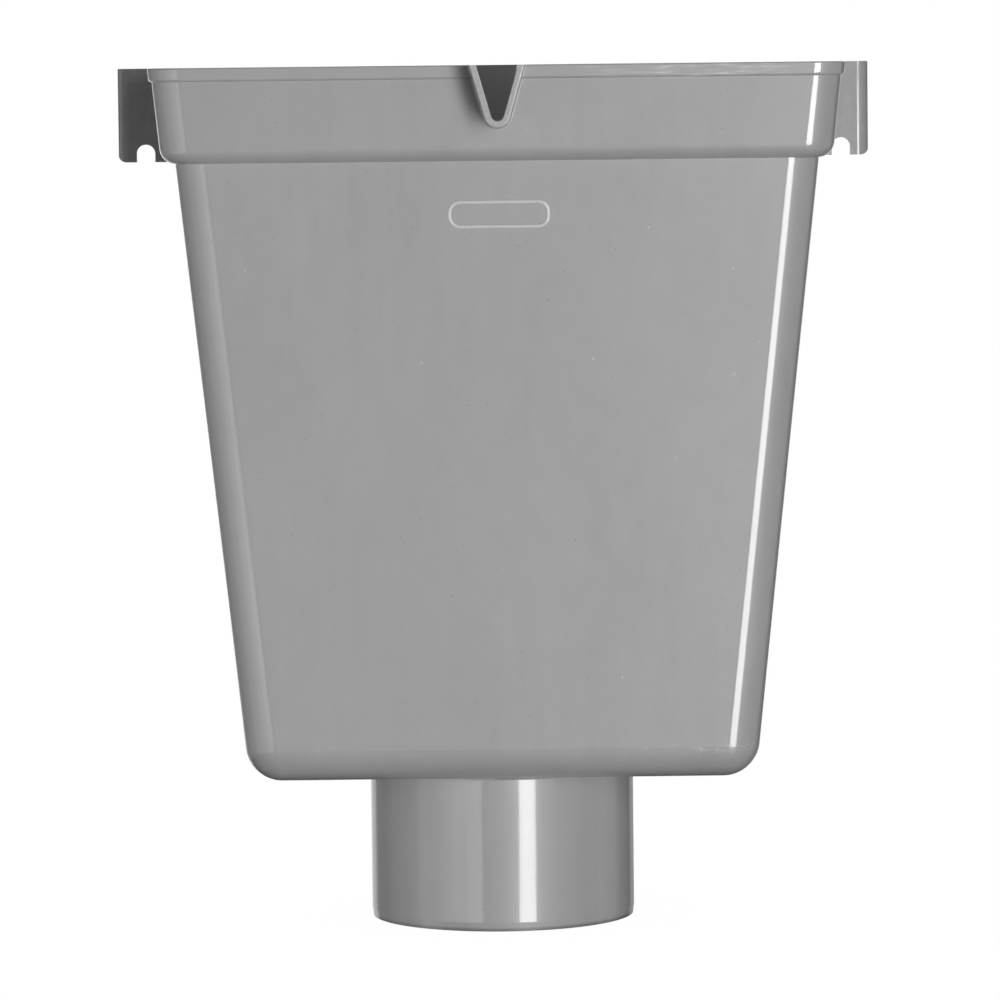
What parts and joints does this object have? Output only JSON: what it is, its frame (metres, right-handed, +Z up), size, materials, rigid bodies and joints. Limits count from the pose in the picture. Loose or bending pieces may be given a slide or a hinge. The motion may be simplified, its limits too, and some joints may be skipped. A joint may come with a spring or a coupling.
{
  "type": "downpipe hopper head",
  "caption": "Grey moulded rainwater hopper head: tapered box with a collar and rim band, V overflow notch with spout, hanging ears at the back and a round outlet for a downpipe.",
  "frame": {"origin": "centre of the outlet's lower end, on the downpipe's axis", "axes": "+Z up along the downpipe's axis, +Y towards the wall, so that the front with the overflow notch looks along -Y and +X is to the right seen from the front"},
  "size_m": [0.236, 0.1562, 0.259],
  "materials": {
    "grey_upvc": "semi-gloss moulded grey uPVC, through-coloured"
  },
  "bodies": {
    "root": {"hopper_head": "grey_upvc"}
  },
  "joints": []
}
